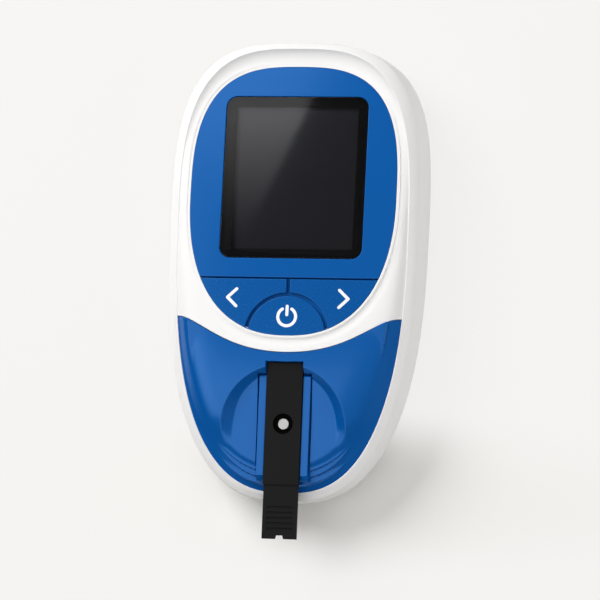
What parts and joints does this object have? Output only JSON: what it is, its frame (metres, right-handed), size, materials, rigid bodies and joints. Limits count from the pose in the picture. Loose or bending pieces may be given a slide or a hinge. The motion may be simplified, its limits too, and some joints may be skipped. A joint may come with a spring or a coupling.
{
  "type": "lipid meter",
  "caption": "Egg-shaped handheld lipid meter with a display, arrow and power keys, and a test strip lying in a dished tray at its lower end.",
  "frame": {"origin": "middle of the bounding box's bottom face, in the plane the rubber feet stand on", "axes": "+Z out of the display, +Y toward the display end, +X to the right seen from the front, with the strip end toward -Y"},
  "size_m": [0.0768, 0.1475, 0.0259],
  "materials": {
    "white_shell": "fine satin moulded ABS, white",
    "blue_panel": "fine satin moulded ABS, blue",
    "blue_key": "satin moulded ABS, blue",
    "white_mark": "white two-shot inlay",
    "lens": "clear scratch-resistant lens",
    "tape": "black adhesive frame",
    "lcd": "liquid crystal cell, switched off",
    "frame": "black moulded frame",
    "diffuser": "milky light guide",
    "flex": "polyimide film",
    "board": "glass-epoxy board with green resist",
    "chip": "epoxy mould compound",
    "brass_disc": "piezo disc in a brass cup",
    "switch_metal": "tin-plated switch cover",
    "window": "clear polycarbonate",
    "optics_black": "black light-tight moulding",
    "led": "water-clear epoxy",
    "diode": "dark filter epoxy",
    "contact": "nickel-plated spring steel",
    "cell": "lacquered steel can",
    "screw": "zinc-plated steel",
    "rubber": "soft black rubber",
    "strip_black": "black polystyrene, fine matt texture",
    "mesh": "white hydrophilic mesh"
  },
  "bodies": {
    "housing": {"front_shell": "white_shell", "rear_shell": "white_shell", "display_panel": "blue_panel", "lower_fascia": "blue_panel", "strip_guide": "blue_panel", "display_lens": "lens", "lens_tape": "tape", "lcd_glass": "lcd", "lcd_frame": "frame", "backlight": "diffuser", "lcd_ribbon": "flex", "optics_ribbon": "flex", "main_board": "board", "optics_board": "board", "board_chips": "chip", "buzzer": "brass_disc", "key_switches": "switch_metal", "optical_window": "window", "optics_block": "optics_black", "optics_leds": "led", "photodiode": "diode", "battery_springs": "contact", "battery_contacts": "contact", "battery_1": "cell", "battery_2": "cell", "battery_3": "cell", "battery_4": "cell", "rear_screws": "screw", "board_screws": "screw", "rubber_feet": "rubber"},
    "left_key": {"left_key": "blue_key", "left_mark": "white_mark"},
    "right_key": {"right_key": "blue_key", "right_mark": "white_mark"},
    "power_key": {"power_key": "blue_key", "power_mark": "white_mark"},
    "battery_door": {"battery_door": "white_shell"},
    "test_strip": {"strip_body": "strip_black", "strip_cover": "strip_black", "sample_mesh": "mesh"}
  },
  "joints": [
    {"name": "left_key_press", "type": "slide", "parent": "housing", "child": "left_key", "axis": [0, 0, -1], "range_m": [0, 0.00035], "stiffness_N_per_m": 2500, "springref_m": -0.0004},
    {"name": "right_key_press", "type": "slide", "parent": "housing", "child": "right_key", "axis": [0, 0, -1], "range_m": [0, 0.00035], "stiffness_N_per_m": 2500, "springref_m": -0.0004},
    {"name": "power_key_press", "type": "slide", "parent": "housing", "child": "power_key", "axis": [0, 0, -1], "range_m": [0, 0.00035], "stiffness_N_per_m": 2500, "springref_m": -0.0004},
    {"name": "door_hinge", "type": "hinge", "parent": "housing", "child": "battery_door", "pos_m": [0, -0.0057, 0.00165], "axis": [-1, 0, 0], "range_deg": [0, 75]},
    {"name": "strip_pull", "type": "slide", "parent": "housing", "child": "test_strip", "axis": [0, -0.9987, -0.0511], "range_m": [0, 0.045]}
  ]
}
